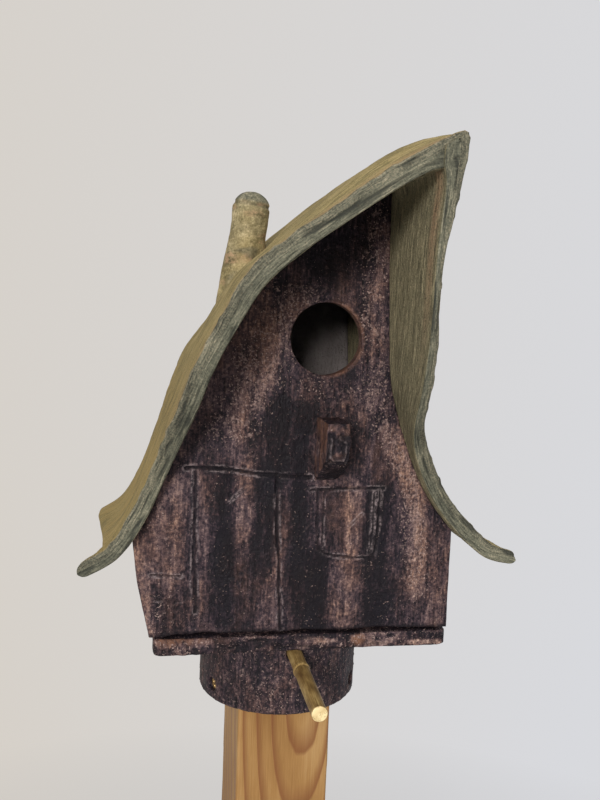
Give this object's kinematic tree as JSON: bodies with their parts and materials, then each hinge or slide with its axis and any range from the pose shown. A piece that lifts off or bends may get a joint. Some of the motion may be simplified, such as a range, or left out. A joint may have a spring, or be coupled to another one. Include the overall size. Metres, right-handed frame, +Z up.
{
  "type": "ceramic birdhouse on pole",
  "caption": "Hand-built stoneware birdhouse with a crooked curved gable roof, round entrance, chimney and bamboo perch, socketed on a square pine post.",
  "frame": {"origin": "middle of the square post's bottom face", "axes": "+Z up along the post; the house front and its entrance hole face -Y; +X is right as seen from the front"},
  "size_m": [0.195, 0.1565, 0.968],
  "materials": {
    "dark_clay": "dry matt stain rubbed back over groggy stoneware",
    "green_clay": "dry matt grey-green and olive wash",
    "pine": "planed, unfinished",
    "bamboo": "natural skin, slight sheen",
    "screw_brass": "dull"
  },
  "bodies": {
    "root": {"post": "pine", "collar": "dark_clay", "collar_screw_left": "screw_brass", "collar_screw_right": "screw_brass", "collar_screw_back": "screw_brass", "floor_plate": "dark_clay", "front_wall": "dark_clay", "back_wall": "dark_clay", "left_wall": "dark_clay", "right_wall": "dark_clay", "left_roof": "green_clay", "right_roof": "green_clay", "chimney": "green_clay", "perch_bracket": "dark_clay", "bamboo_perch": "bamboo"}
  },
  "joints": []
}
